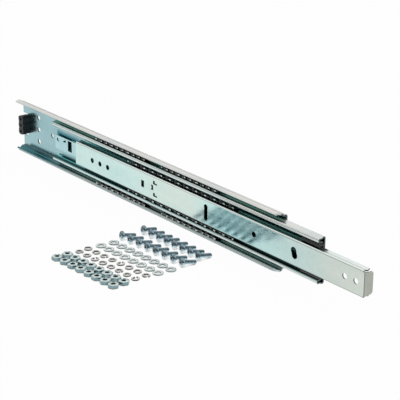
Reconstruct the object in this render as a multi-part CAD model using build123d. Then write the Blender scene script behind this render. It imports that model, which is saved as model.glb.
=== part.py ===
from build123d import *
import math
import os

# Three-member ball bearing slide for rack mounted equipment, with its fixing hardware.
# X runs along the slide towards its front, Y points to the rack upright behind it and
# Z is up. The origin is the middle one of the three rear fixing holes, in the back face
# of the outer member's web.

# Outer member, fixed to the rack
outer_length = 406.4
outer_height = 53.0
outer_sheet = 1.5
outer_bend = 1.5
outer_foot_drop = 2.7
outer_lip_angle = 50.0
outer_lip_run = 0.3
outer_bevel_length = 7.0
outer_bevel_depth = 4.5

# Intermediate member
middle_length = 390.0
middle_travelled = 65.5
middle_sheet = 1.2
middle_bend = 1.2
middle_fold_radius = 1.1
middle_hem_radius = 0.65
middle_leg_run = 0.8
middle_groove_rear = 24.0
middle_groove_front = 12.0
middle_race_rear = 45.0
middle_race_front = 12.0
middle_front_y = 10.3
middle_bevel_length = 1.2
middle_bevel_depth = 1.2
web_gap = 0.9

# Inner member, fixed to the equipment
inner_length = 401.0
inner_travelled = 111.1
inner_sheet = 1.2
inner_bend = 1.0
inner_edge_run = 0.5
inner_groove_rear = 40.0
inner_groove_front = 12.0
slide_thickness = 12.7
end_tab_reach = 9.5
end_tab_taper = 0.8
end_tab_chamfer = 1.5
end_tab_relief = 2.0
end_web_drop = 3.4

# Balls and races
ball_diameter = 4.763
race_clearance = 0.12
outer_ball_y = 7.6
inner_ball_y = 8.0
row_spacing = 8.6

# Outer ball cage: two sets of three groups of three windows
cage_sheet = 0.4
outer_cage_margin = 5.9
outer_ball_pitch = 8.2
outer_group_pitch = 26.0
outer_set_pitch = 102.6
outer_first_ball = 147.6
balls_per_group = 3
groups_per_set = 3
outer_window_length = 6.4
outer_long_window = 25.4
outer_cage_drop = 0.35
outer_cage_rim = 1.0
outer_cage_front_y = 10.3

# Inner ball cage
inner_cage_margin = 7.0
inner_ball_pitch = 12.8
inner_first_ball = 201.5
inner_ball_count = 12
inner_window_length = 10.2
inner_cage_web_y = 4.1
inner_cage_front_y = 10.7
inner_cage_rim = 1.2
pocket_clearance = 0.2

# Holes in the outer member's web
pilot_x = 52.9
pilot_diameter = 4.6
fixing_x = 28.1
fixing_diameter = 5.4
hole_pitch = 12.7
notch_length = 8.6
notch_height = 24.0
notch_corner = 3.0

# Bumper tab and rubber bumper
tab_height = 16.0
tab_reach = 8.4
bumper_length = 8.4
bumper_x = 3.2
bumper_rise = 1.2
bumper_depth = 8.5
bumper_height = 19.6
bumper_lobes = 3
bumper_corner = 2.4
bumper_waist = 0.5
bumper_dimple_diameter = 3.2
bumper_dimple_depth = 0.9

# Latch plate on the intermediate web
plate_sheet = 1.2
plate_height = 14.4
plate_rise = -1.2
plate_standoff = 1.4
plate_free_length = 54.0
plate_step_length = 4.0
plate_foot_length = 24.0
plate_slot_x = 22.2
plate_slot_width = 6.9
plate_slot_height = 10.9
plate_slot_rise = 0.75
# Corners of the two barb holes, from the plate's rear end and its mid height.
plate_barbs = (
    ((2.9, 4.5), (5.1, 4.5), (6.4, 1.0), (3.3, 1.4)),
    ((13.4, 3.4), (18.5, 5.7), (18.7, 3.0), (15.0, 2.7)),
)
rivet_head_diameter = 6.0
rivet_head_height = 1.1
rivet_shank_diameter = 3.2
rivet_pitch = 12.0

# Guide blocks at the front of the intermediate member
block_length = 20.8
block_clearance = 0.3
block_foot_thickness = 1.1
block_foot_drop = 5.5
block_arm_drop = 0.75
block_arm_rise = 0.4
block_front_y = 10.1

# Openings in the inner member's web, from its rear end
inner_hole_diameter = 5.2
inner_row_x = 28.1
inner_single_x = 267.4
inner_front_x = 378.4
small_slot_x = 109.3
small_slot_width = 4.3
small_slot_height = 6.6
pierce_x = 123.6
pierce_rise = 0.5
pierce_width = 3.7
pierce_height = 4.8
pierce_bite = 1.3
louvre_x = 128.4
louvre_z = 5.95
louvre_width = 6.0
louvre_height = 3.5
louvre_gap = 1.5
louvre_slit = 0.8
louvre_depth = 0.9
tall_slot_x = 202.3
tall_slot_height = 15.4
tall_slot_end = 5.2
tall_slot_waist = 4.6
eight_slot_x = 318.4
eight_slot_pitch = 3.7
eight_slot_diameter = 6.7
eight_slot_shift = 0.6

# Loose number 8-32 hardware
set_count = 8
screw_head_diameter = 8.2
screw_head_height = 2.9
screw_head_side = 1.5
screw_crown_diameter = 4.6
screw_diameter = 4.1
screw_length = 12.7
recess_span = 4.3
recess_width = 1.0
recess_depth = 1.7
nut_flats = 8.73
nut_height = 3.2
nut_bore = 3.5
nut_chamfer = 0.45
washer_outer = 9.5
washer_inner = 4.8
washer_height = 1.1
lock_outer = 7.4
lock_inner = 4.3
lock_height = 1.0
lock_gap = 0.9
screw_turn = 83.0

# Rows of the loose hardware on the floor. Each gives the first piece's distance along the
# slide and in front of it, the pitch of the row and its turn in degrees.
nut_rows = ((269.3, 141.1, 10.98, 3.1), (269.7, 130.7, 10.9, 3.5))
lock_rows = ((268.1, 117.1, 10.93, 3.0), (267.1, 107.1, 11.09, 3.8))
flat_rows = ((268.1, 94.1, 11.19, 2.4), (269.5, 81.2, 11.1, 2.6))
screw_rows = ((267.6, 70.0, 11.45, 3.5), (268.8, 46.9, 10.95, 1.0))

# Values that follow from the sizes above
datum = Location((-fixing_x, 0, 0))
floor_z = -outer_height / 2
ball_radius = ball_diameter / 2
race_radius = ball_radius + race_clearance
outer_ball_z = outer_height / 2 - outer_sheet - race_radius
inner_ball_z = outer_ball_z - row_spacing
outer_cage_height = outer_ball_z - outer_cage_drop
end_web_height = 2 * (inner_ball_z - end_web_drop)
middle_web_y = outer_sheet + web_gap + middle_sheet / 2
middle_web_front = middle_web_y + middle_sheet / 2
inner_web_y = slide_thickness - inner_sheet / 2
middle_front = middle_travelled + middle_length
inner_front = inner_travelled + inner_length


def race_corner(ball_y, ball_z, radius, rear_angle, front_angle, side):
    """Corner whose fillet of the given radius is centred on the ball. side is +1 over
    the ball and -1 under it; the angles are how far the race wraps to each side."""
    half = math.radians((rear_angle + front_angle) / 2)
    lean = math.radians((front_angle - rear_angle) / 2)
    reach = radius / math.cos(half)
    return (-ball_y - reach * math.sin(lean), ball_z + side * reach * math.cos(lean))


def race_end(ball_y, ball_z, radius, angle, run, toward, side):
    """End of a race wall: it leaves the ball's circle at the angle and runs on straight.
    toward is -1 for the front wall and +1 for the rear wall."""
    a = math.radians(angle)
    y = -ball_y + toward * (radius * math.sin(a) + run * math.cos(a))
    z = ball_z + side * (radius * math.cos(a) - run * math.sin(a))
    return (y, z)


def race_height(ball_y, ball_z, radius, angle, y, toward, side):
    """Height at y of the straight wall that leaves the ball's circle at the angle."""
    a = math.radians(angle)
    start_y = -ball_y + toward * radius * math.sin(a)
    start_z = ball_z + side * radius * math.cos(a)
    return start_z - side * math.tan(a) * abs(y - start_y)


def sheet_section(points, radii, sheet):
    """Closed section of a bent strip, from the points and bends of its mid-line."""
    side_points = []
    for sign in (1, -1):
        shifted = []
        for i, point in enumerate(points):
            before = points[max(i - 1, 0)]
            after = points[min(i + 1, len(points) - 1)]
            here = Vector(*point)
            first = (here - Vector(*before)) if i > 0 else (Vector(*after) - here)
            second = (Vector(*after) - here) if i < len(points) - 1 else first
            first = first.normalized()
            second = second.normalized()
            normal = Vector(-first.Y - second.Y, first.X + second.X).normalized()
            stretch = 1 / (normal.X * -first.Y + normal.Y * first.X)
            shifted.append(here + normal * (sign * stretch * sheet / 2))
        side_points.append(shifted)
    turns = []
    for i in range(1, len(points) - 1):
        a = Vector(*points[i]) - Vector(*points[i - 1])
        b = Vector(*points[i + 1]) - Vector(*points[i])
        turns.append(1 if a.X * b.Y - a.Y * b.X > 0 else -1)
    left, right = side_points
    left_radii = [r - t * sheet / 2 for r, t in zip(radii, turns)]
    right_radii = [r + t * sheet / 2 for r, t in zip(radii, turns)]
    outline = [*left, *reversed(right)]
    corner_radii = [0, *left_radii, 0, 0, *reversed(right_radii), 0]
    outline = [(p.X, p.Y) for p in outline]
    return make_face(FilletPolyline(*outline, radius=corner_radii, close=True))


def mirrored(points, radii):
    """Adds the lower half to a mid-line that starts at the slide's mid height."""
    upper = points[1:]
    lower = [(y, -z) for y, z in reversed(upper)]
    return [*lower, *upper], [*reversed(radii), *radii]


def rail(section, start, length):
    """Runs a section along the slide."""
    plane = Plane(origin=(start, 0, 0), x_dir=(0, 1, 0), z_dir=(1, 0, 0))
    return extrude(plane * section, length)


def bar(x0, x1, y0, y1, z0, z1):
    """Block between two corners."""
    size = (abs(x1 - x0), abs(y1 - y0), abs(z1 - z0))
    return Pos((x0 + x1) / 2, (y0 + y1) / 2, (z0 + z1) / 2) * Box(*size)


def through(shape, depth=outer_height):
    """Cutter through the webs, from a sketch drawn in the XZ plane."""
    plane = Plane(origin=(0, 0, 0), x_dir=(1, 0, 0), z_dir=(0, -1, 0))
    return extrude(plane * shape, depth / 2, both=True)


def write(node, *solids):
    """Places the piece on the datum and writes its STEP file."""
    placed = [datum * s for s in solids]
    shape = placed[0] if len(placed) == 1 else Compound(children=placed)
    shape.label = node
    export_step(shape, "parts/" + node + ".step")


def outer_points():
    radius = race_radius + outer_sheet / 2
    web_y = -outer_sheet / 2
    foot_z = outer_height / 2 - outer_foot_drop
    apex = race_corner(outer_ball_y, outer_ball_z, radius, outer_lip_angle, outer_lip_angle, 1)
    slope = math.tan(math.radians(outer_lip_angle))
    foot_y = apex[0] + (apex[1] - foot_z) / slope
    tip = race_end(outer_ball_y, outer_ball_z, radius, outer_lip_angle, outer_lip_run, -1, 1)
    points = [(web_y, 0), (web_y, foot_z), (foot_y, foot_z), apex, tip]
    return mirrored(points, [outer_bend, outer_bend, radius])


def bumper_tab():
    low = bumper_rise - tab_height / 2
    return bar(notch_length, notch_length + outer_sheet, 0, -tab_reach, low, low + tab_height)


def make_outer_member():
    points, radii = outer_points()
    body = rail(sheet_section(points, radii, outer_sheet), 0, outer_length)
    # The tab for the bumper is folded forward out of the notch in the rear end.
    notch = Pos(0, 0) * RectangleRounded(2 * notch_length, notch_height, notch_corner)
    body -= through(notch)
    body += bumper_tab()
    columns = (fixing_x, outer_length - fixing_x)
    for x in columns:
        for row in (-1, 0, 1):
            body -= through(Pos(x, row * hole_pitch) * Circle(fixing_diameter / 2))
    for x in (pilot_x, outer_length - pilot_x):
        body -= through(Pos(x, 0) * Circle(pilot_diameter / 2))
    # Bevels that lead the intermediate member in at the front.
    lip_y = outer_ball_y + race_radius + outer_sheet
    corner = Polyline(
        (outer_length - outer_bevel_length, -lip_y),
        (outer_length, -lip_y),
        (outer_length, -lip_y + outer_bevel_depth),
        close=True,
    )
    return body - extrude(make_face(corner), outer_height, both=True)


def make_bumper():
    """Three rounded lobes side by side, joined by a narrower waist, on the folded tab."""
    lobe = bumper_height / bumper_lobes
    middle_x = bumper_x + bumper_length / 2
    front_y = -outer_sheet - bumper_depth
    waist = bumper_length - 2 * bumper_waist
    core_low = bumper_rise - bumper_height / 2 + bumper_corner
    body = bar(middle_x - waist / 2, middle_x + waist / 2, -outer_sheet, front_y,
               core_low, core_low + bumper_height - 2 * bumper_corner)
    for i in range(bumper_lobes):
        z = bumper_rise + (i - (bumper_lobes - 1) / 2) * lobe
        plane = Plane(origin=(middle_x, -outer_sheet, z), x_dir=(1, 0, 0), z_dir=(0, -1, 0))
        shape = RectangleRounded(bumper_length, lobe + 0.02, bumper_corner)
        body += extrude(plane * shape, bumper_depth)
    for i in range(bumper_lobes):
        z = bumper_rise + (i - (bumper_lobes - 1) / 2) * lobe
        plane = Plane(origin=(middle_x, front_y, z), x_dir=(1, 0, 0), z_dir=(0, 1, 0))
        body -= extrude(plane * Circle(bumper_dimple_diameter / 2), bumper_dimple_depth)
    return body - bumper_tab()


def middle_points():
    web_y = -middle_web_y
    front_y = -(middle_front_y - middle_sheet / 2)
    radius = race_radius + middle_sheet / 2
    over = (outer_ball_y, outer_ball_z, radius)
    under = (inner_ball_y, inner_ball_z, radius)
    groove = race_corner(*over, middle_groove_rear, middle_groove_front, -1)
    web_top = race_height(*over, middle_groove_rear, web_y, 1, -1)
    fold_top = race_height(*over, middle_groove_front, front_y, -1, -1)
    fold_bottom = race_height(*under, middle_race_front, front_y, -1, 1)
    race = race_corner(*under, middle_race_rear, middle_race_front, 1)
    end = race_end(*under, middle_race_rear, middle_leg_run, 1, 1)
    points = [(web_y, 0), (web_y, web_top), groove, (front_y, fold_top),
              (front_y, fold_bottom), race, end]
    radii = [middle_bend, radius, middle_fold_radius, middle_hem_radius, radius]
    return mirrored(points, radii)


def make_middle_member():
    points, radii = middle_points()
    body = rail(sheet_section(points, radii, middle_sheet), middle_travelled, middle_length)
    # The lips are bevelled at the rear end.
    corner = Polyline(
        (middle_travelled, -middle_front_y),
        (middle_travelled + middle_bevel_length, -middle_front_y),
        (middle_travelled, -middle_front_y + middle_bevel_depth),
        close=True,
    )
    body -= extrude(make_face(corner), outer_height, both=True)
    first = middle_travelled + plate_free_length + plate_step_length + plate_foot_length / 2
    for x in (first - rivet_pitch / 2, first + rivet_pitch / 2):
        body -= through(Pos(x, 0) * Circle(rivet_shank_diameter / 2))
    return body


def make_latch_plate():
    start = middle_travelled
    near = -(middle_web_front + plate_sheet / 2)
    far = near - plate_standoff
    step = start + plate_free_length
    points = [(start, far), (step, far), (step + plate_step_length, near),
              (step + plate_step_length + plate_foot_length, near)]
    strip = sheet_section(points, [plate_sheet, plate_sheet], plate_sheet)
    body = Pos(0, 0, plate_rise) * extrude(strip, plate_height / 2, both=True)
    slot_x = start + plate_slot_x + plate_slot_width / 2
    slot_z = plate_rise + plate_slot_rise
    body -= through(Pos(slot_x, slot_z) * Rectangle(plate_slot_width, plate_slot_height))
    for corners in plate_barbs:
        barb = make_face(Polyline(*corners, close=True))
        body -= through(Pos(start, plate_rise) * barb)
    first = step + plate_step_length + plate_foot_length / 2
    for x in (first - rivet_pitch / 2, first + rivet_pitch / 2):
        body -= through(Pos(x, 0) * Circle(rivet_shank_diameter / 2))
    return body


def make_rivets():
    first = middle_travelled + plate_free_length + plate_step_length + plate_foot_length / 2
    back = -(middle_web_front - middle_sheet)
    grip = middle_sheet + plate_sheet
    rivets = []
    for x in (first - rivet_pitch / 2, first + rivet_pitch / 2):
        plane = Plane(origin=(x, back, 0), x_dir=(1, 0, 0), z_dir=(0, -1, 0))
        shank = extrude(plane * Circle(rivet_shank_diameter / 2), grip)
        head = extrude(plane.offset(grip) * Circle(rivet_head_diameter / 2), rivet_head_height)
        head = fillet(head.edges().group_by(Axis.Y)[0], rivet_head_height / 2)
        rivets.append(shank + head)
    return rivets


def make_guide_block(side):
    nose_radius = race_radius - block_clearance
    nose = Pos(-inner_ball_y, inner_ball_z) * Circle(nose_radius)
    top = inner_ball_z + block_arm_rise
    arm_height = block_arm_rise + block_arm_drop
    foot_height = block_arm_rise + block_foot_drop
    arm = Pos(-(block_front_y + middle_web_front) / 2, top - arm_height / 2)
    arm *= Rectangle(block_front_y - middle_web_front, arm_height)
    foot = Pos(-middle_web_front - block_foot_thickness / 2, top - foot_height / 2)
    foot *= Rectangle(block_foot_thickness, foot_height)
    block = rail(nose + arm + foot, middle_front - block_length, block_length)
    return block if side > 0 else mirror(block, Plane.XY)


def inner_points():
    web_y = -inner_web_y
    radius = race_radius + inner_sheet / 2
    over = (inner_ball_y, inner_ball_z, radius)
    groove = race_corner(*over, inner_groove_rear, inner_groove_front, -1)
    web_top = race_height(*over, inner_groove_front, web_y, -1, -1)
    end = race_end(*over, inner_groove_rear, inner_edge_run, 1, -1)
    return mirrored([(web_y, 0), (web_y, web_top), groove, end], [inner_bend, radius])


def inner_openings():
    """Holes and slots in the inner member's web, as one sketch in the XZ plane."""
    hole = Circle(inner_hole_diameter / 2)
    cuts = []
    for x in (inner_row_x, inner_row_x + hole_pitch, inner_row_x + 2 * hole_pitch,
              inner_single_x, inner_front_x, inner_front_x + hole_pitch):
        cuts.append(Pos(x, 0) * hole)
    cuts.append(Pos(small_slot_x, 0) * Rectangle(small_slot_width, small_slot_height))
    # A rectangular hole with a rounded tongue left in its rear side.
    tongue = pierce_height / 2 - 0.2
    pierced = Rectangle(pierce_width, pierce_height)
    pierced -= Pos(pierce_bite - pierce_width / 2 - tongue, 0) * Circle(tongue)
    cuts.append(Pos(pierce_x, pierce_rise) * pierced)
    # Each louvre's opening. Its tongue is added behind the web.
    for side in (-1, 1):
        cuts.append(Pos(louvre_x, side * louvre_z) * Rectangle(louvre_width, louvre_height))
    end_z = (tall_slot_height - tall_slot_end) / 2
    cuts.append(Pos(tall_slot_x, 0) * Rectangle(tall_slot_waist, 2 * end_z))
    for side in (-1, 1):
        cuts.append(Pos(tall_slot_x, side * end_z) * Circle(tall_slot_end / 2))
        lobe_x = eight_slot_x - side * eight_slot_shift
        cuts.append(Pos(lobe_x, side * eight_slot_pitch / 2) * Circle(eight_slot_diameter / 2))
    waist = eight_slot_diameter - eight_slot_shift
    cuts.append(Pos(eight_slot_x, 0) * Rectangle(waist, eight_slot_pitch * 0.8))
    return [Pos(inner_travelled, 0) * c for c in cuts]


def make_inner_member():
    points, radii = inner_points()
    body = rail(sheet_section(points, radii, inner_sheet), inner_travelled, inner_length)
    # Ahead of the relief only the flat web is left, and the end tab is folded back from it.
    front_y = -slide_thickness
    relief = inner_front - end_tab_relief
    half_web = end_web_height / 2
    for side in (-1, 1):
        body -= bar(relief, inner_front + 1, 0, front_y - 1, side * half_web, side * outer_height)
    body -= bar(relief, inner_front + 1, 0, front_y + inner_sheet, -half_web, half_web)
    half_tab = half_web - end_tab_taper
    reach = front_y + end_tab_reach
    plane = Plane(origin=(inner_front, 0, 0), x_dir=(0, 1, 0), z_dir=(-1, 0, 0))
    outline = make_face(Polyline((front_y, -half_web), (reach, -half_tab), (reach, half_tab),
                                 (front_y, half_web), close=True))
    far = outline.vertices().sort_by(Axis.X)[-2:]
    outline = chamfer(far, end_tab_chamfer)
    body += extrude(plane * outline, inner_sheet)
    bend = body.edges().filter_by(Axis.Z).filter_by(
        lambda e: abs(e.center().X - inner_front) < 0.01 and abs(e.center().Y - front_y) < 0.01)
    body = fillet(bend, inner_sheet * 0.9)
    for opening in inner_openings():
        plane = Plane(origin=(0, front_y - 1, 0), x_dir=(1, 0, 0), z_dir=(0, -1, 0))
        body -= extrude(plane * opening, -inner_sheet - 2)
    # Each louvre's tongue is sheared free along its rear and lower sides and pressed in
    # behind the web's face. It hangs on along its front and upper sides.
    hold = inner_sheet / 2
    for side in (-1, 1):
        x = inner_travelled + louvre_x
        z = side * louvre_z
        body += bar(x - louvre_width / 2 + louvre_gap, x + louvre_width / 2 + hold,
                    front_y + louvre_depth, front_y + louvre_depth + inner_sheet,
                    z - louvre_height / 2 + louvre_slit, z + louvre_height / 2 + hold)
    return body


def outer_ball_positions():
    positions = []
    for s in range(2):
        for g in range(groups_per_set):
            for b in range(balls_per_group):
                x = outer_first_ball + s * outer_set_pitch + g * outer_group_pitch
                positions.append(x + b * outer_ball_pitch)
    return positions


def inner_ball_positions():
    return [inner_first_ball + i * inner_ball_pitch for i in range(inner_ball_count)]


def make_cage(web_y, flange_z, front_y, rim, start, length, ball_y, ball_xs, window):
    """Cage bent as a channel: both flanges hold a row of balls, and each ends in a rim
    that stands up between the members."""
    points = [(-web_y, 0), (-web_y, flange_z), (-front_y, flange_z), (-front_y, flange_z + rim)]
    points, radii = mirrored(points, [cage_sheet, cage_sheet])
    body = rail(sheet_section(points, radii, cage_sheet), start, length)
    pocket = ball_radius + pocket_clearance
    for side in (-1, 1):
        low = side * (flange_z - cage_sheet)
        high = side * (flange_z + rim + cage_sheet)
        for x in ball_xs:
            body -= bar(x - pocket, x + pocket, -ball_y + pocket, -ball_y - pocket, low, high)
            body -= bar(x - window / 2, x + window / 2, -front_y + cage_sheet,
                        -front_y - cage_sheet, side * flange_z, high)
    return body


def make_outer_cage():
    web_y = outer_sheet + web_gap / 2
    xs = outer_ball_positions()
    start = xs[0] - outer_cage_margin
    length = xs[-1] - xs[0] + 2 * outer_cage_margin
    body = make_cage(web_y, outer_cage_height, outer_cage_front_y, outer_cage_rim,
                     start, length, outer_ball_y, xs, outer_window_length)
    # The long window between the two sets of balls.
    middle = start + length / 2
    for side in (-1, 1):
        body -= bar(middle - outer_long_window / 2, middle + outer_long_window / 2,
                    -outer_ball_y + 1, -outer_cage_front_y - cage_sheet,
                    side * (outer_cage_height - cage_sheet), side * outer_height / 2)
    return body


def make_inner_cage():
    xs = inner_ball_positions()
    length = xs[-1] - xs[0] + 2 * inner_cage_margin
    return make_cage(inner_cage_web_y, inner_ball_z, inner_cage_front_y, inner_cage_rim,
                     xs[0] - inner_cage_margin, length, inner_ball_y, xs, inner_window_length)


def make_balls(xs, y, z):
    return [Pos(x, -y, z) * Sphere(ball_radius) for x in xs]


def layout(rows):
    """Positions of the rows of one kind of hardware on the floor."""
    places = []
    for x, ahead, pitch, turn in rows:
        a = math.radians(turn)
        for i in range(set_count):
            places.append((x + i * pitch * math.cos(a), i * pitch * math.sin(a) - ahead))
    return places


def make_nuts():
    blank = RegularPolygon(nut_flats / 2, 6, major_radius=False) - Circle(nut_bore / 2)
    # Both faces are chamfered round, so that the corners of the hexagon fall away.
    corner = nut_flats / math.sqrt(3)
    turned = Polyline((0, 0), (nut_flats / 2 - 0.1, 0), (corner, nut_chamfer),
                      (corner, nut_height - nut_chamfer), (nut_flats / 2 - 0.1, nut_height),
                      (0, nut_height), close=True)
    nut = extrude(blank, nut_height) & revolve(Plane.XZ * make_face(turned), Axis.Z)
    return [Pos(x, y, floor_z) * Rot(0, 0, 37 * i % 60) * nut
            for i, (x, y) in enumerate(layout(nut_rows))]


def make_lock_washers():
    ring = extrude(Circle(lock_outer / 2) - Circle(lock_inner / 2), lock_height)
    ring -= Pos(lock_outer / 2, 0, lock_height / 2) * Rot(30, 0, 0) * Box(
        lock_outer, lock_gap, 4 * lock_height)
    return [Pos(x, y, floor_z) * Rot(0, 0, 71 * i % 360) * ring
            for i, (x, y) in enumerate(layout(lock_rows))]


def make_flat_washers():
    ring = extrude(Circle(washer_outer / 2) - Circle(washer_inner / 2), washer_height)
    return [Pos(x, y, floor_z) * ring for x, y in layout(flat_rows)]


def make_screws():
    head_radius = screw_head_diameter / 2
    crown_radius = screw_crown_diameter / 2
    shank_radius = screw_diameter / 2
    shoulder = -screw_head_height + 0.25
    profile = Polyline((0, -screw_head_height), (crown_radius, shoulder))
    profile += SagittaArc((crown_radius, shoulder), (head_radius, -screw_head_side), -0.35)
    profile += Polyline(
        (head_radius, -screw_head_side),
        (head_radius, 0),
        (shank_radius, 0),
        (shank_radius, screw_length - 0.5),
        (shank_radius - 0.5, screw_length),
        (0, screw_length),
        (0, -screw_head_height),
    )
    screw = revolve(Plane.XZ * make_face(profile), Axis.Z)
    depth = -screw_head_height + recess_depth
    for wide, deep in ((recess_span, recess_width), (recess_width, recess_span)):
        screw -= bar(-wide / 2, wide / 2, -deep / 2, deep / 2, -screw_head_height - 1, depth)
    # The screw lies on the rim of its head and on the end of its thread.
    tilt = math.degrees(math.atan2(head_radius - shank_radius, screw_length - 0.5))
    screws = []
    for i, (x, y) in enumerate(layout(screw_rows)):
        lying = Rot(0, 90 + tilt, 0) * Rot(0, 0, 37 * i % 90) * screw
        lying = Pos(0, 0, -lying.bounding_box().min.Z) * lying
        spin = screw_turn + (i * 5 % 7 - 3) * 1.3
        screws.append(Pos(x, y, floor_z) * Rot(0, 0, spin) * lying)
    return screws


def main():
    os.makedirs("parts", exist_ok=True)
    write("outer_member", make_outer_member())
    write("rear_bumper", make_bumper())
    write("intermediate_member", make_middle_member())
    write("latch_plate", make_latch_plate())
    write("latch_plate_rivets", *make_rivets())
    write("guide_block_upper", make_guide_block(1))
    write("guide_block_lower", make_guide_block(-1))
    write("inner_member", make_inner_member())
    write("outer_ball_cage", make_outer_cage())
    write("outer_balls_upper", *make_balls(outer_ball_positions(), outer_ball_y, outer_ball_z))
    write("outer_balls_lower", *make_balls(outer_ball_positions(), outer_ball_y, -outer_ball_z))
    write("inner_ball_cage", make_inner_cage())
    write("inner_balls_upper", *make_balls(inner_ball_positions(), inner_ball_y, inner_ball_z))
    write("inner_balls_lower", *make_balls(inner_ball_positions(), inner_ball_y, -inner_ball_z))
    write("machine_screws", *make_screws())
    write("flat_washers", *make_flat_washers())
    write("lock_washers", *make_lock_washers())
    write("hex_nuts", *make_nuts())


main()
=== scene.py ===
import bmesh
import bpy
import math
from mathutils import Matrix, Vector


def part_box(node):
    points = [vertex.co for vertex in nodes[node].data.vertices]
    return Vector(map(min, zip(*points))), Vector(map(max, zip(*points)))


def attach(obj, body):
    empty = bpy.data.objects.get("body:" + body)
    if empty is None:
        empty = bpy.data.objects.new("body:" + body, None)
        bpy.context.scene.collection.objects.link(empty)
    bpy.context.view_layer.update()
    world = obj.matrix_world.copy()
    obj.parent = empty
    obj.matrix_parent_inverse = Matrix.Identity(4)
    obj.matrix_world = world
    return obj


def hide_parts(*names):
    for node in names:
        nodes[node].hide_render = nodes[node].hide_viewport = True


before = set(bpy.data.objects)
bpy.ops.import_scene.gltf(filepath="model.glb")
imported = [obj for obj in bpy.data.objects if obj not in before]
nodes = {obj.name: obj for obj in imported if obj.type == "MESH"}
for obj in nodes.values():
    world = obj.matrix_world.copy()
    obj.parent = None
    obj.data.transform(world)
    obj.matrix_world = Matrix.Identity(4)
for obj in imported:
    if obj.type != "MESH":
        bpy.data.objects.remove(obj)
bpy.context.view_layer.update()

FLOOR_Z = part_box("outer_member")[0][2]
MM = 0.001
WHITE = (1.0, 1.0, 1.0)
OCCLUSION_SAMPLES = 8
SHARP_EDGE = math.radians(32)

# Studio brightness by the direction's height, from below to straight up
SKY_BY_HEIGHT = [(0.0, (0.20, 0.21, 0.21)), (0.18, (0.45, 0.45, 0.44)), (0.32, (0.98, 0.96, 0.93)),
                 (0.70, (1.05, 1.04, 1.03)), (1.0, (0.8, 0.82, 0.83))]
# Studio brightness by how far the direction points to the dark side
SKY_BY_SIDE = [(0.0, WHITE), (0.5, (0.85, 0.85, 0.85)), (0.8, (0.22, 0.22, 0.22)),
               (1.0, (0.16, 0.16, 0.16))]
DARK_SIDE = (0.6, -0.8, 0.0)


def new_material(name, metallic=0.0):
    mat = bpy.data.materials.new(name)
    mat.use_nodes = True
    tree = mat.node_tree
    tree.nodes.clear()
    out = tree.nodes.new("ShaderNodeOutputMaterial")
    shader = tree.nodes.new("ShaderNodeBsdfPrincipled")
    shader.inputs["Metallic"].default_value = metallic
    tree.links.new(shader.outputs["BSDF"], out.inputs["Surface"])
    return mat, tree, shader


def ramp(tree, source, stops, smooth=True):
    """Colour by a value, from (value, colour) pairs."""
    node = tree.nodes.new("ShaderNodeValToRGB")
    node.color_ramp.interpolation = "EASE" if smooth else "LINEAR"
    elements = node.color_ramp.elements
    while len(elements) < len(stops):
        elements.new(0.5)
    for element, (pos, colour) in zip(elements, stops):
        element.position = pos
        element.color = (*colour, 1.0)
    tree.links.new(source, node.inputs["Fac"])
    return node.outputs["Color"]


def grey_ramp(tree, source, stops):
    """Plain value by a value, from (value, level) pairs."""
    return ramp(tree, source, [(pos, (level,) * 3) for pos, level in stops])


def noise(tree, stretch, detail=3.0, roughness=0.55):
    """Noise fixed to the piece. stretch is its fineness along each axis."""
    coords = tree.nodes.new("ShaderNodeTexCoord")
    mapping = tree.nodes.new("ShaderNodeMapping")
    mapping.inputs["Scale"].default_value = stretch
    tree.links.new(coords.outputs["Object"], mapping.inputs["Vector"])
    node = tree.nodes.new("ShaderNodeTexNoise")
    node.inputs["Scale"].default_value = 1.0
    node.inputs["Detail"].default_value = detail
    node.inputs["Roughness"].default_value = roughness
    tree.links.new(mapping.outputs["Vector"], node.inputs["Vector"])
    return node.outputs["Fac"]


def mix(tree, factor, a, b, mode="MIX"):
    """Blend of two colours, each a plain one or a node's output."""
    node = tree.nodes.new("ShaderNodeMix")
    node.data_type = "RGBA"
    node.blend_type = mode
    for key, value in ((0, factor), (6, a), (7, b)):
        if isinstance(value, (int, float)):
            node.inputs[key].default_value = value
        elif isinstance(value, tuple):
            node.inputs[key].default_value = (*value, 1.0)
        else:
            tree.links.new(value, node.inputs[key])
    return node.outputs[2]


def tinted(tree, colour, tint):
    return mix(tree, 1.0, colour, tint, "MULTIPLY")


def math_node(tree, operation, a, b=None):
    node = tree.nodes.new("ShaderNodeMath")
    node.operation = operation
    for i, value in enumerate((a, b)):
        if value is None:
            continue
        if isinstance(value, (int, float)):
            node.inputs[i].default_value = value
        else:
            tree.links.new(value, node.inputs[i])
    return node.outputs[0]


def product(tree, a, b):
    return math_node(tree, "MULTIPLY", a, b)


def span(tree, value, low, high):
    """0 below low and 1 above high. With high under low it runs the other way."""
    node = tree.nodes.new("ShaderNodeMapRange")
    node.inputs["From Min"].default_value = low
    node.inputs["From Max"].default_value = high
    tree.links.new(value, node.inputs["Value"])
    return node.outputs["Result"]


def parts(tree, vector):
    """The X, Y and Z outputs of a vector."""
    split = tree.nodes.new("ShaderNodeSeparateXYZ")
    tree.links.new(vector, split.inputs["Vector"])
    return split.outputs


def normal_parts(tree):
    """The three parts of the surface normal, in the slide's own axes."""
    return parts(tree, tree.nodes.new("ShaderNodeNewGeometry").outputs["Normal"])


def place_parts(tree):
    """The three parts of the surface point's place on the slide, in metres."""
    return parts(tree, tree.nodes.new("ShaderNodeTexCoord").outputs["Object"])


def openness(tree, distance):
    """How open a surface is: 1 in the clear, near 0 in a gap narrower than distance."""
    node = tree.nodes.new("ShaderNodeAmbientOcclusion")
    node.samples = OCCLUSION_SAMPLES
    node.inputs["Distance"].default_value = distance
    return node.outputs["AO"]


def recess(tree, distance, recess_shade):
    """Painted shade: a tint that deepens where the sheet folds over itself and light has to bounce in."""
    return ramp(tree, openness(tree, distance), [(0.14, recess_shade), (0.74, WHITE)], smooth=False)


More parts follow.
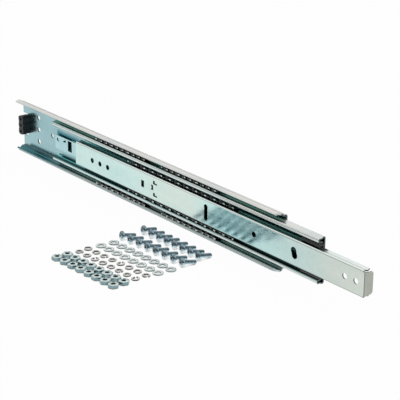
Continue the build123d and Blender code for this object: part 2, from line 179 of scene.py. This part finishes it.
def by_height(tree, height, bands):
    """Colour from a list of (height in mm, colour) pairs, blended between them. A plain
    colour stays as it is."""
    if isinstance(bands, tuple):
        return bands
    reach = 27.0 * MM
    stops = [((z * MM + reach) / (2 * reach), colour) for z, colour in bands]
    return ramp(tree, span(tree, height, -reach, reach), stops, smooth=False)


def finish_surface(tree, shader, colour, roughness, relief, strength, depth):
    """Links the colour and the roughness, and adds relief as a fine bump."""
    tree.links.new(colour, shader.inputs["Base Color"])
    tree.links.new(roughness, shader.inputs["Roughness"])
    node = tree.nodes.new("ShaderNodeBump")
    node.inputs["Strength"].default_value = strength
    node.inputs["Distance"].default_value = depth
    tree.links.new(relief, node.inputs["Height"])
    tree.links.new(node.outputs["Normal"], shader.inputs["Normal"])


# Parts of the normal between which one painted light tone of the zinc gives way to the next
FACING_UP = (0.12, 0.7)
FACING_DOWN = (-0.08, -0.5)
FACING_INWARD = (0.2, 0.6)
FACING_FRONT = (0.6, 0.45)
FACING_ALONG = (0.6, 0.9)
FACING_BEND = (0.15, 0.4)
# Blends at the mid height, the web's edge and the tab's bend, and the reach of the painted shade in the
# folds' gap, in metres
MID_HEIGHT = (-0.0005, 0.0005)
WEB_EDGE = 0.0004
TAB_BEND = (0.0014, 0.0010)
FOLD_SHADE_REACH = 0.007
# Painted shade for the hole sides and cut ends, and for the tab's bend
CUT_EDGE_SHADE = (0.10, 0.13, 0.125)
BEND_SHADE = (0.16, 0.19, 0.18)


def zinc(name, web, top, under, inside, rough=(0.16, 0.3), drift_scale=9.0,
         recess_shade=(0.10, 0.24, 0.26), flat_height=0.02, tab=None, along=(), ahead=None):
    """Bright zinc plate: blue-green film that drifts along the strip, palest on upward faces by a
    painted reflection, with another painted tone of light on downward faces, painted shade
    inside the channels and folds, and faint rolling lines along the slide. along gives the web's
    tones, partly painted light, further along the slide, ahead gives the channels' painted shade,
    and tab gives the place and the painted shade of a folded end."""
    mat, tree, shader = new_material(name, 1.0)
    n = normal_parts(tree)
    p = place_parts(tree)
    web = by_height(tree, p["Z"], web)
    for start, end, bands in along:
        web = mix(tree, span(tree, p["X"], start, end), web, by_height(tree, p["Z"], bands))
    film = mix(tree, span(tree, n["Z"], *FACING_UP), web, top)
    film = mix(tree, span(tree, n["Z"], *FACING_DOWN), film, under)
    # Faces that look towards the slide's mid height lie inside a channel and get its painted shade.
    half = math_node(tree, "SUBTRACT", product(tree, span(tree, p["Z"], *MID_HEIGHT), 2.0), 1.0)
    inward = product(tree, product(tree, n["Z"], half), -1.0)
    inside = by_height(tree, p["Z"], inside)
    if ahead:
        start, end, bands = ahead
        further = by_height(tree, p["Z"], bands)
        inside = mix(tree, span(tree, p["X"], start, end), inside, further)
    film = mix(tree, span(tree, inward, *FACING_INWARD), film, inside)
    # Painted shade on the sides of the holes in the webs, and on the sheared ends of the strip
    level = span(tree, math_node(tree, "ABSOLUTE", p["Z"]), flat_height, flat_height - WEB_EDGE)
    sideways = span(tree, math_node(tree, "ABSOLUTE", n["Y"]), *FACING_FRONT)
    film = mix(tree, product(tree, level, sideways), film, CUT_EDGE_SHADE)
    ends = span(tree, math_node(tree, "ABSOLUTE", n["X"]), *FACING_ALONG)
    film = mix(tree, ends, film, CUT_EDGE_SHADE)
    if tab:
        # The folded tab in painted shade, darker still at its bend
        tab_x, tab_shade = tab
        front = span(tree, p["X"], tab_x - TAB_BEND[0], tab_x - TAB_BEND[1])
        bend = product(tree, span(tree, n["X"], *FACING_BEND), front)
        film = mix(tree, bend, film, BEND_SHADE)
        film = mix(tree, product(tree, ends, front), film, tab_shade)
    drift = noise(tree, (drift_scale, 22.0, 30.0), 3.0, 0.6)
    colour = tinted(tree, film, ramp(tree, drift, [(0.3, (0.88, 0.93, 0.94)), (0.7, (1.06, 1.03, 1.02))]))
    spangle = noise(tree, (160.0, 160.0, 160.0), 4.0)
    colour = tinted(tree, colour, ramp(tree, spangle, [(0.35, (0.95, 0.96, 0.96)), (0.7, WHITE)]))
    # Painted shade that deepens in the folds and gaps
    colour = tinted(tree, colour, recess(tree, FOLD_SHADE_REACH, recess_shade))
    # Fine scuffs that run along the slide, where the members have rubbed
    scuff = noise(tree, (30.0, 700.0, 700.0), 5.0, 0.7)
    colour = tinted(tree, colour, ramp(tree, scuff, [(0.62, WHITE), (0.78, (0.86, 0.88, 0.88))]))
    lines = noise(tree, (14.0, 900.0, 900.0))
    shine = grey_ramp(tree, lines, [(0.25, rough[0]), (0.75, rough[1])])
    finish_surface(tree, shader, colour, shine, lines, 0.06, 0.0002)
    return mat


def plated_with_painted_light(name, top, side, under, rough, dark=0.75, reach=0.0016, recess_shade=(0.06, 0.09, 0.10),
           rise=(0.25, 0.85)):
    """Zinc on small turned or headed pieces, with a painted light tone on top, another round the
    sides and another underneath, dull specks, and painted shade in the thread and in the bores."""
    mat, tree, shader = new_material(name, 1.0)
    up = normal_parts(tree)["Z"]
    film = mix(tree, span(tree, up, *rise), side, top)
    film = mix(tree, span(tree, up, -0.1, -0.7), film, under)
    speck = noise(tree, (500.0, 500.0, 500.0), 4.0)
    colour = tinted(tree, film, grey_ramp(tree, speck, [(0.3, dark), (0.62, 1.0)]))
    colour = tinted(tree, colour, recess(tree, reach, recess_shade))
    shine = grey_ramp(tree, speck, [(0.3, rough * 1.3), (0.7, rough * 0.8)])
    finish_surface(tree, shader, colour, shine, speck, 0.08, 0.00005)
    return mat


def scaled(colour, factor):
    return tuple(c * factor for c in colour)


def plain_metal(name, colour, rough):
    """Bare metal with a faint grain."""
    mat, tree, shader = new_material(name, 1.0)
    grain = noise(tree, (700.0, 700.0, 700.0))
    base = ramp(tree, grain, [(0.3, scaled(colour, 0.9)), (0.7, colour)])
    shine = grey_ramp(tree, grain, [(0.3, rough * 0.8), (0.7, rough * 1.3)])
    finish_surface(tree, shader, base, shine, grain, 0.05, 0.0001)
    return mat


def moulded(name, colour, rough, groove_shade_x=None):
    """Moulded rubber or plastic with a fine grain. The optional last argument is the place, in
    metres along the slide, of a dark line of painted shade for a crease that runs across it."""
    mat, tree, shader = new_material(name)
    grain = noise(tree, (1400.0, 1400.0, 1400.0), 4.0)
    base = ramp(tree, grain, [(0.3, scaled(colour, 0.7)), (0.75, scaled(colour, 1.35))])
    if groove_shade_x:
        off = math_node(tree, "SUBTRACT", place_parts(tree)["X"], groove_shade_x)
        line = span(tree, math_node(tree, "ABSOLUTE", off), 0.0009, 0.0004)
        base = mix(tree, line, base, scaled(colour, 0.2))
    shine = grey_ramp(tree, grain, [(0.3, rough * 0.85), (0.7, rough * 1.15)])
    finish_surface(tree, shader, base, shine, grain, 0.25, 0.0002)
    return mat


# Outer member: the bands at the web's lower bend and near its top are painted highlight and shade, and so
# are the tones facing up, down and into the channels
OUTER_WEB_WITH_PAINTED_BENDS = [(-26.0, (0.74, 0.80, 0.79)), (-25.0, (0.46, 0.50, 0.49)), (-20.0, (0.34, 0.54, 0.57)),
             (20.0, (0.34, 0.54, 0.57))]
ZINC_OUTER = zinc(
    "zinc_outer",
    web=[*OUTER_WEB_WITH_PAINTED_BENDS, (23.5, (0.30, 0.37, 0.37))],
    top=(0.73, 0.74, 0.73),
    under=(0.76, 0.82, 0.81),
    inside=[(-26.5, (0.04, 0.16, 0.19)), (-14.0, (0.05, 0.20, 0.23)), (14.0, (0.26, 0.40, 0.36))],
    recess_shade=(0.42, 0.58, 0.58),
    along=[(0.04, 0.11, [*OUTER_WEB_WITH_PAINTED_BENDS, (23.5, (0.50, 0.53, 0.52))])],
    ahead=(0.02, 0.10, [(-26.5, (0.34, 0.39, 0.37)), (-14.0, (0.20, 0.25, 0.23)),
                        (14.0, (0.32, 0.39, 0.34))]))


def bands_with_painted_edges(edge, tone):
    """Bands of the middle member's web in one tone, between its paler edges of painted light."""
    return [(-15.8, edge), (-15.0, tone), (15.0, tone), (15.8, edge)]


# Above the latch plate the middle member's web has a dark band, a painted reflection; its paler edges and
# the channels' tones are painted light as well.
ZINC_MIDDLE = zinc(
    "zinc_middle",
    web=[(-15.8, (0.60, 0.72, 0.71)), (-15.0, (0.34, 0.56, 0.60)), (5.2, (0.34, 0.56, 0.60)),
         (6.5, (0.05, 0.22, 0.27)), (8.4, (0.05, 0.22, 0.27)), (12.5, (0.42, 0.56, 0.56)),
         (15.0, (0.50, 0.62, 0.62)), (15.8, (0.60, 0.72, 0.71))],
    top=(0.76, 0.79, 0.77),
    under=(0.66, 0.74, 0.73),
    inside=[(-8.0, (0.05, 0.30, 0.33)), (8.0, (0.08, 0.26, 0.27))],
    recess_shade=(0.24, 0.78, 0.74),
    along=[(0.07, 0.10, bands_with_painted_edges((0.60, 0.72, 0.71), (0.32, 0.56, 0.60))),
           (0.12, 0.34, bands_with_painted_edges((0.66, 0.70, 0.68), (0.44, 0.62, 0.62)))],
    ahead=(0.05, 0.30, [(-20.0, (0.20, 0.32, 0.29)), (8.0, (0.20, 0.50, 0.46))]))
# Inner member: its tones facing up, down and into the channels, its darker tab and the changing tones
# along its web are painted light and shade
ZINC_INNER = zinc(
    "zinc_inner",
    web=(0.60, 0.80, 0.77),
    top=(0.84, 0.90, 0.88),
    under=(0.19, 0.23, 0.225),
    inside=[(-12.0, (0.08, 0.24, 0.25)), (12.0, (0.12, 0.26, 0.26))],
    rough=(0.12, 0.22),
    drift_scale=6.0,
    flat_height=0.0102,
    tab=(0.484, (0.40, 0.42, 0.37)),
    along=[(0.17, 0.24, (0.64, 0.765, 0.72)), (0.265, 0.30, (0.52, 0.80, 0.80)),
           (0.32, 0.45, (0.62, 0.68, 0.63))])
# Latch plate: its tones facing up, down and inwards are painted light
ZINC_PLATE = zinc(
    "zinc_plate",
    web=(0.46, 0.68, 0.71),
    top=(0.72, 0.82, 0.82),
    under=(0.30, 0.45, 0.47),
    inside=(0.30, 0.50, 0.52),
    flat_height=0.0055)
# Balls darkened nearly to black: painted shade of the cage windows they sit in
BALL_STEEL_IN_PAINTED_SHADE = plain_metal("ball_steel", (0.075, 0.08, 0.08), 0.12)
CAGE_STEEL = plain_metal("cage_steel", (0.54, 0.60, 0.59), 0.3)
# The hardware's tones on top, round the sides and underneath are painted light and shade
NUT_ZINC = plated_with_painted_light("nut_zinc", (0.66, 0.78, 0.78), (0.26, 0.38, 0.40), (0.10, 0.14, 0.15), 0.22,
                  reach=0.0025)
SCREW_ZINC = plated_with_painted_light("screw_zinc", (0.28, 0.38, 0.43), (0.60, 0.73, 0.78), (0.76, 0.84, 0.87), 0.2,
                    recess_shade=(0.34, 0.44, 0.48), rise=(0.02, 0.42))
WASHER_ZINC = plated_with_painted_light("washer_zinc", (0.90, 0.95, 0.94), (0.36, 0.45, 0.44), (0.3, 0.35, 0.35), 0.26,
                     dark=0.85)
SPRING_ZINC = plated_with_painted_light("lock_washer_zinc", (0.70, 0.70, 0.68), (0.08, 0.075, 0.07),
                     (0.06, 0.06, 0.06), 0.28)
# Dark material for the nuts' threaded bores: painted shade
NUT_BORE_PAINTED_SHADE = plated_with_painted_light("nut_bore_painted_shade", (0.05, 0.09, 0.10), (0.03, 0.055, 0.06), (0.03, 0.04, 0.045), 0.35)
# The dark line across the bumper is painted shade of a crease in the rubber
RUBBER = moulded("bumper_rubber", (0.018, 0.022, 0.028), 0.5, groove_shade_x=-0.0210)
PLASTIC = moulded("guide_plastic", (0.014, 0.015, 0.016), 0.42)

for name, mat in {
    "outer_member": ZINC_OUTER, "rear_bumper": RUBBER, "intermediate_member": ZINC_MIDDLE,
    "latch_plate": ZINC_PLATE, "latch_plate_rivets": ZINC_PLATE, "guide_block_upper": PLASTIC,
    "guide_block_lower": PLASTIC, "inner_member": ZINC_INNER, "outer_ball_cage": CAGE_STEEL,
    "inner_ball_cage": CAGE_STEEL, "outer_balls_upper": BALL_STEEL_IN_PAINTED_SHADE, "outer_balls_lower": BALL_STEEL_IN_PAINTED_SHADE,
    "inner_balls_upper": BALL_STEEL_IN_PAINTED_SHADE, "inner_balls_lower": BALL_STEEL_IN_PAINTED_SHADE, "machine_screws": SCREW_ZINC,
    "flat_washers": WASHER_ZINC, "lock_washers": SPRING_ZINC, "hex_nuts": NUT_ZINC,
}.items():
    mesh = nodes[name].data
    mesh.materials.clear()
    mesh.materials.append(mat)

# Rows of loose hardware: first piece's place along and before the slide, pitch in mm, turn
NUT_ROWS = ((269.3, 141.1, 10.98, 3.1), (269.7, 130.7, 10.9, 3.5))
LOCK_ROWS = ((268.1, 117.1, 10.93, 3.0), (267.1, 107.1, 11.09, 3.8))
FLAT_ROWS = ((268.1, 94.1, 11.19, 2.4), (269.5, 81.2, 11.1, 2.6))
SCREW_ROWS = ((267.6, 70.0, 11.45, 3.5), (268.8, 46.9, 10.95, 1.0))
SLIDE_REAR_X = -28.1
PIECES_PER_ROW = 8

# Sizes of the hardware, in mm
THREAD_PITCH = 0.794
NUT_FLATS = 8.73
NUT_HEIGHT = 3.2
NUT_CHAMFER = 0.45
NUT_RIM_INSET = 0.1
NUT_THREAD = (2.07, 1.72)
NUT_FLARE_RADIUS = 2.14
NUT_FLARE_SLOPE = 0.9
SCREW_LENGTH = 12.7
SCREW_THREAD = (1.6, 2.06)
SCREW_POINT = 0.55
SCREW_NECK_RADIUS = 1.85
SCREW_NECK_LENGTH = 0.5
SCREW_NECK_SLOPE = 1.2
HEAD_RADIUS = 4.1
# The pan head's outline, as radius and height from the thread's root
HEAD_PROFILE = ((0.01, -2.9), (1.2, -2.86), (2.3, -2.68), (3.1, -2.38), (3.7, -1.98), (4.02, -1.6),
                (HEAD_RADIUS, -1.35), (HEAD_RADIUS, -0.12), (4.0, 0.0), (1.9, 0.0))
# Sections of the cross recess: reach of a wing, half its width and height
CROSS_SECTIONS = ((2.35, 0.56, -3.4), (2.2, 0.52, -2.9), (0.9, 0.34, -1.25), (0.4, 0.3, -0.95))
# Where a lying screw's thread meets the floor, as radius and distance from the head
REST_RADIUS = 2.05
REST_REACH = 12.2


def layout(rows):
    """Places of the rows of one kind of hardware on the floor, in mm."""
    places = []
    for x, ahead, pitch, turn in rows:
        a = math.radians(turn)
        for i in range(PIECES_PER_ROW):
            places.append((SLIDE_REAR_X + x + i * pitch * math.cos(a), i * pitch * math.sin(a) - ahead))
    return places


def flat_on_floor(rows, step, full_turn):
    """Matrices of the pieces that lie flat, each turned by step degrees from the last."""
    return [Matrix.Translation((x, y, FLOOR_Z / MM))
            @ Matrix.Rotation(math.radians(step * i % full_turn), 4, "Z")
            for i, (x, y) in enumerate(layout(rows))]


def rings_to_mesh(rings, closed=False):
    """Vertices and faces of a skin through rings of points. closed joins the last ring to
    the first one, otherwise both end rings are filled."""
    count = len(rings[0])
    verts = [p for ring in rings for p in ring]
    faces = []
    last = len(rings) if closed else len(rings) - 1
    for i in range(last):
        a = i * count
        b = (i + 1) % len(rings) * count
        for j in range(count):
            k = (j + 1) % count
            faces.append((a + j, a + k, b + k, b + j))
    if not closed:
        faces.append(tuple(reversed(range(count))))
        faces.append(tuple(range(len(verts) - count, len(verts))))
    return verts, faces


def joined(shapes):
    """One shape from several pairs of vertices and faces."""
    verts = []
    faces = []
    for shape_verts, shape_faces in shapes:
        base = len(verts)
        verts.extend(shape_verts)
        faces.extend(tuple(base + i for i in face) for face in shape_faces)
    return verts, faces


def ring_round(count, z, radius):
    """Ring of points round Z. radius is a function of the angle."""
    ring = []
    for j in range(count):
        a = 2 * math.pi * j / count
        r = radius(a)
        ring.append((r * math.cos(a), r * math.sin(a), z))
    return ring


def turned(profile, count):
    """Rings round Z through the (radius, height) points of a profile."""
    return [ring_round(count, z, lambda a: r) for r, z in profile]


def thread_radius(angle, z, root, crest):
    """Radius of a V thread with a flat crest and root, at an angle and a height."""
    phase = (z / THREAD_PITCH - angle / (2 * math.pi)) % 1.0
    rise = 1.0 - abs(2.0 * phase - 1.0)
    return root + (crest - root) * min(1.0, max(0.0, (rise - 0.15) / 0.7))


def mesh_object(name, verts, faces):
    """New object from points in mm."""
    mesh = bpy.data.meshes.new(name)
    mesh.from_pydata([(x * MM, y * MM, z * MM) for x, y, z in verts], [], faces)
    mesh.update()
    obj = bpy.data.objects.new(name, mesh)
    bpy.context.scene.collection.objects.link(obj)
    return obj


def outward(obj):
    """Turns the faces outward and smooths all but the sharp edges."""
    bm = bmesh.new()
    bm.from_mesh(obj.data)
    bmesh.ops.remove_doubles(bm, verts=bm.verts, dist=1e-7)
    bmesh.ops.recalc_face_normals(bm, faces=bm.faces)
    bm.to_mesh(obj.data)
    bm.free()
    obj.data.shade_smooth()
    obj.data.set_sharp_from_angle(angle=SHARP_EDGE)


def scatter(name, node, mat, shape, places, bore=None, bore_faces=()):
    """One piece made of copies of a shape, set down at the given matrices. bore is the material,
    a painted shade, of the faces that bore_faces names."""
    verts, faces = shape
    copies = [([tuple(matrix @ Vector(v)) for v in verts], faces) for matrix in places]
    obj = mesh_object(name, *joined(copies))
    obj.data.materials.append(mat)
    if bore:
        obj.data.materials.append(bore)
        for polygon in obj.data.polygons:
            polygon.material_index = int(polygon.index % len(faces) in bore_faces)
    outward(obj)
    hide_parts(node)
    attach(obj, "outer")


def nut_shape():
    """Hexagon nut, chamfered round on both faces, with a countersunk threaded bore, and
    the range of the bore's faces."""
    count = 48
    steps = 32
    rim = NUT_FLATS / 2 - NUT_RIM_INSET
    corner = NUT_FLATS / math.sqrt(3)

    def hexagon(share, z):
        """Ring of the hexagon, cut back to a circle that grows from rim to corner."""
        limit = rim + (corner - rim) * share
        return ring_round(count, z, lambda a: min(
            limit, NUT_FLATS / 2 / math.cos(a % (math.pi / 3) - math.pi / 6)))

    def bore_ring(z):
        flare = NUT_FLARE_RADIUS - min(z, NUT_HEIGHT - z) * NUT_FLARE_SLOPE
        return ring_round(count, z, lambda a: max(flare, thread_radius(a, z, *NUT_THREAD)))

    shares = (0.0, 0.35, 0.7, 1.0)
    rings = [hexagon(share, NUT_CHAMFER * share) for share in shares]
    rings += [hexagon(share, NUT_HEIGHT - NUT_CHAMFER * share) for share in reversed(shares)]
    first_bore_face = len(rings) * count
    rings += [bore_ring(NUT_HEIGHT - NUT_HEIGHT * i / steps) for i in range(steps + 1)]
    bore_faces = range(first_bore_face, first_bore_face + steps * count)
    return rings_to_mesh(rings, closed=True), bore_faces


def washer_shape():
    """Punched washer: rolled over on the upper edges, sharp below."""
    outer, inner, height = 4.75, 2.4, 1.1
    profile = [(inner, 0.0), (outer, 0.0), (outer, height - 0.3), (outer - 0.1, height - 0.1),
               (outer - 0.35, height), (inner + 0.3, height), (inner + 0.08, height - 0.1),
               (inner, height - 0.3)]
    return rings_to_mesh(turned(profile, 48), closed=True)


def spring_shape():
    """Split lock washer: a coil of square wire, its two cut ends a little apart in height."""
    outer, inner, height, rise, count = 3.7, 2.15, 1.0, 0.42, 44
    start, sweep = 12, 337
    section = [(inner, 0.06), (inner + 0.08, 0), (outer - 0.12, 0.08), (outer, 0.2),
               (outer, height - 0.2), (outer - 0.12, height - 0.08), (inner + 0.08, height),
               (inner, height - 0.06)]
    rings = []
    for i in range(count + 1):
        share = i / count
        a = math.radians(start + sweep * share)
        rings.append([(r * math.cos(a), r * math.sin(a), rise * share + z) for r, z in section])
    return rings_to_mesh(rings)


def cross_section(reach, half, z):
    """Ring round a cross of four wings."""
    ring = []
    for turn in range(4):
        a = -turn * math.pi / 2
        for x, y in ((half, half), (reach, half), (reach, -half)):
            ring.append((x * math.cos(a) - y * math.sin(a), x * math.sin(a) + y * math.cos(a), z))
    return ring


def screw_head():
    """Pan head with the cross recess sunk into it."""
    head = mesh_object("head", *rings_to_mesh(turned(HEAD_PROFILE, 40)))
    cutter = mesh_object("cutter", *rings_to_mesh([cross_section(*s) for s in CROSS_SECTIONS]))
    for obj in (head, cutter):
        outward(obj)
    cut = head.modifiers.new("recess", "BOOLEAN")
    cut.operation = "DIFFERENCE"
    cut.object = cutter
    cut.solver = "EXACT"
    graph = bpy.context.evaluated_depsgraph_get()
    mesh = bpy.data.meshes.new_from_object(head.evaluated_get(graph))
    verts = [tuple(v.co / MM) for v in mesh.vertices]
    faces = [tuple(p.vertices) for p in mesh.polygons]
    for obj in (head, cutter):
        bpy.data.objects.remove(obj)
    return verts, faces


def screw_shank():
    """Rolled thread from the neck under the head to the bevelled end."""
    steps_per_turn = 8
    steps = int(SCREW_LENGTH / THREAD_PITCH * steps_per_turn)
    rings = []
    for i in range(steps + 1):
        z = SCREW_LENGTH * i / steps
        end = SCREW_THREAD[1] - max(0.0, z - (SCREW_LENGTH - SCREW_POINT))
        neck = SCREW_NECK_RADIUS - max(0.0, z - SCREW_NECK_LENGTH) * SCREW_NECK_SLOPE
        rings.append(ring_round(24, z, lambda a: min(
            end, max(neck, thread_radius(a, z, *SCREW_THREAD)))))
    return rings_to_mesh(rings)


def lying_screws(shape):
    """Matrices of the screws, each on the rim of its head and on the end of its thread."""
    tilt = math.atan2(HEAD_RADIUS - REST_RADIUS, REST_REACH)
    places = []
    for i, (x, y) in enumerate(layout(SCREW_ROWS)):
        roll = Matrix.Rotation(math.radians(37 * i % 90), 4, "Z")
        lying = Matrix.Rotation(math.pi / 2 + tilt, 4, "Y") @ roll
        lowest = min((lying @ Vector(v)).z for v in shape[0])
        spin = Matrix.Rotation(math.radians(83.0 + (i * 5 % 7 - 3) * 1.3), 4, "Z")
        places.append(Matrix.Translation((x, y, FLOOR_Z / MM - lowest)) @ spin @ lying)
    return places


def make_hardware():
    nut, bore_faces = nut_shape()
    scatter("nuts", "hex_nuts", NUT_ZINC, nut, flat_on_floor(NUT_ROWS, 37, 60),
            NUT_BORE_PAINTED_SHADE, bore_faces)
    scatter("washers", "flat_washers", WASHER_ZINC, washer_shape(),
            flat_on_floor(FLAT_ROWS, 53, 360))
    scatter("spring_washers", "lock_washers", SPRING_ZINC, spring_shape(),
            flat_on_floor(LOCK_ROWS, 71, 360))
    screw = joined([screw_head(), screw_shank()])
    scatter("screws", "machine_screws", SCREW_ZINC, screw, lying_screws(screw))


def light_path(tree, ray):
    return tree.nodes.new("ShaderNodeLightPath").outputs[ray]


def make_floor():
    """Matt pale floor. What the camera and the reflections see is lifted towards white, and
    the share that is left keeps the object's soft shadow."""
    under_slide = (0.2, 0.0, FLOOR_Z - 0.0002)
    bpy.ops.mesh.primitive_plane_add(size=8.0, location=under_slide)
    floor = bpy.context.object
    floor.name = "studio_floor"
    mat, tree, shader = new_material("floor_white")
    shader.inputs["Base Color"].default_value = (0.80, 0.80, 0.80, 1.0)
    shader.inputs["Roughness"].default_value = 0.8
    shader.inputs["Specular IOR Level"].default_value = 0.0
    glow = tree.nodes.new("ShaderNodeEmission")
    glow.inputs["Strength"].default_value = 1.0
    # Inside a nut's bore and right under a rim the floor is dark.
    clear = span(tree, openness(tree, 0.006), 0.2, 0.46)
    seen = product(tree, light_path(tree, "Is Camera Ray"), clear)
    mirrored = math_node(tree, "ADD", light_path(tree, "Is Glossy Ray"),
                         light_path(tree, "Is Transmission Ray"))
    lift = 0.97
    share = product(tree, math_node(tree, "ADD", seen, mirrored), lift)
    blend = tree.nodes.new("ShaderNodeMixShader")
    tree.links.new(share, blend.inputs["Fac"])
    tree.links.new(shader.outputs["BSDF"], blend.inputs[1])
    tree.links.new(glow.outputs["Emission"], blend.inputs[2])
    out = next(n for n in tree.nodes if n.type == "OUTPUT_MATERIAL")
    tree.links.new(blend.outputs["Shader"], out.inputs["Surface"])
    floor.data.materials.append(mat)


def make_world():
    """White for the camera. For everything else a plain studio: a pale ceiling that darkens
    towards the horizon and towards one side."""
    world = bpy.data.worlds.new("studio")
    bpy.context.scene.world = world
    world.use_nodes = True
    tree = world.node_tree
    tree.nodes.clear()
    out = tree.nodes.new("ShaderNodeOutputWorld")
    direction = tree.nodes.new("ShaderNodeTexCoord").outputs["Generated"]
    height = ramp(tree, parts(tree, direction)["Z"], SKY_BY_HEIGHT, smooth=False)
    side = tree.nodes.new("ShaderNodeVectorMath")
    side.operation = "DOT_PRODUCT"
    side.inputs[1].default_value = DARK_SIDE
    tree.links.new(direction, side.inputs[0])
    half = span(tree, side.outputs["Value"], -1.0, 1.0)
    shade = ramp(tree, half, SKY_BY_SIDE, smooth=False)
    soft = tree.nodes.new("ShaderNodeBackground")
    soft.inputs["Strength"].default_value = 1.0
    tree.links.new(tinted(tree, height, shade), soft.inputs["Color"])
    seen = tree.nodes.new("ShaderNodeBackground")
    seen.inputs["Color"].default_value = (*WHITE, 1.0)
    seen.inputs["Strength"].default_value = 1.0
    blend = tree.nodes.new("ShaderNodeMixShader")
    tree.links.new(light_path(tree, "Is Camera Ray"), blend.inputs["Fac"])
    tree.links.new(soft.outputs["Background"], blend.inputs[1])
    tree.links.new(seen.outputs["Background"], blend.inputs[2])
    tree.links.new(blend.outputs["Shader"], out.inputs["Surface"])


def area_light(name, location, target, size, energy):
    """Rectangular lamp of the given size in metres that faces a target."""
    light = bpy.data.lights.new(name, "AREA")
    light.shape = "RECTANGLE"
    light.size, light.size_y = size
    light.energy = energy
    obj = bpy.data.objects.new(name, light)
    bpy.context.scene.collection.objects.link(obj)
    obj.location = location
    direction = Vector(target) - Vector(location)
    obj.rotation_euler = direction.to_track_quat("-Z", "Y").to_euler()


def make_camera():
    """Camera fitted to the photograph's outlines, holes and hardware rows."""
    data = bpy.data.cameras.new("photo_camera")
    data.sensor_width = 36.0
    data.lens = 136.045
    data.clip_start = 0.01
    camera = bpy.data.objects.new("photo_camera", data)
    bpy.context.scene.collection.objects.link(camera)
    right = Vector((0.626962, 0.778997, 0.009110))
    up = Vector((-0.282561, 0.216486, 0.934502))
    back = Vector((0.726002, -0.58847, 0.355842))
    turn = Matrix((right, up, back)).transposed().to_4x4()
    camera.matrix_world = Matrix.Translation((1.24844, -0.80001, 0.4854)) @ turn
    bpy.context.scene.camera = camera


make_hardware()
make_floor()
make_world()
area_light("key", (0.5, -0.5, 1.3), (0.15, 0.0, 0.0), (2.0, 1.5), 4.0)
area_light("fill", (1.3, 0.6, 0.7), (0.2, 0.0, 0.0), (1.2, 1.2), 2.0)
make_camera()

scene = bpy.context.scene
scene.view_settings.view_transform = "Standard"
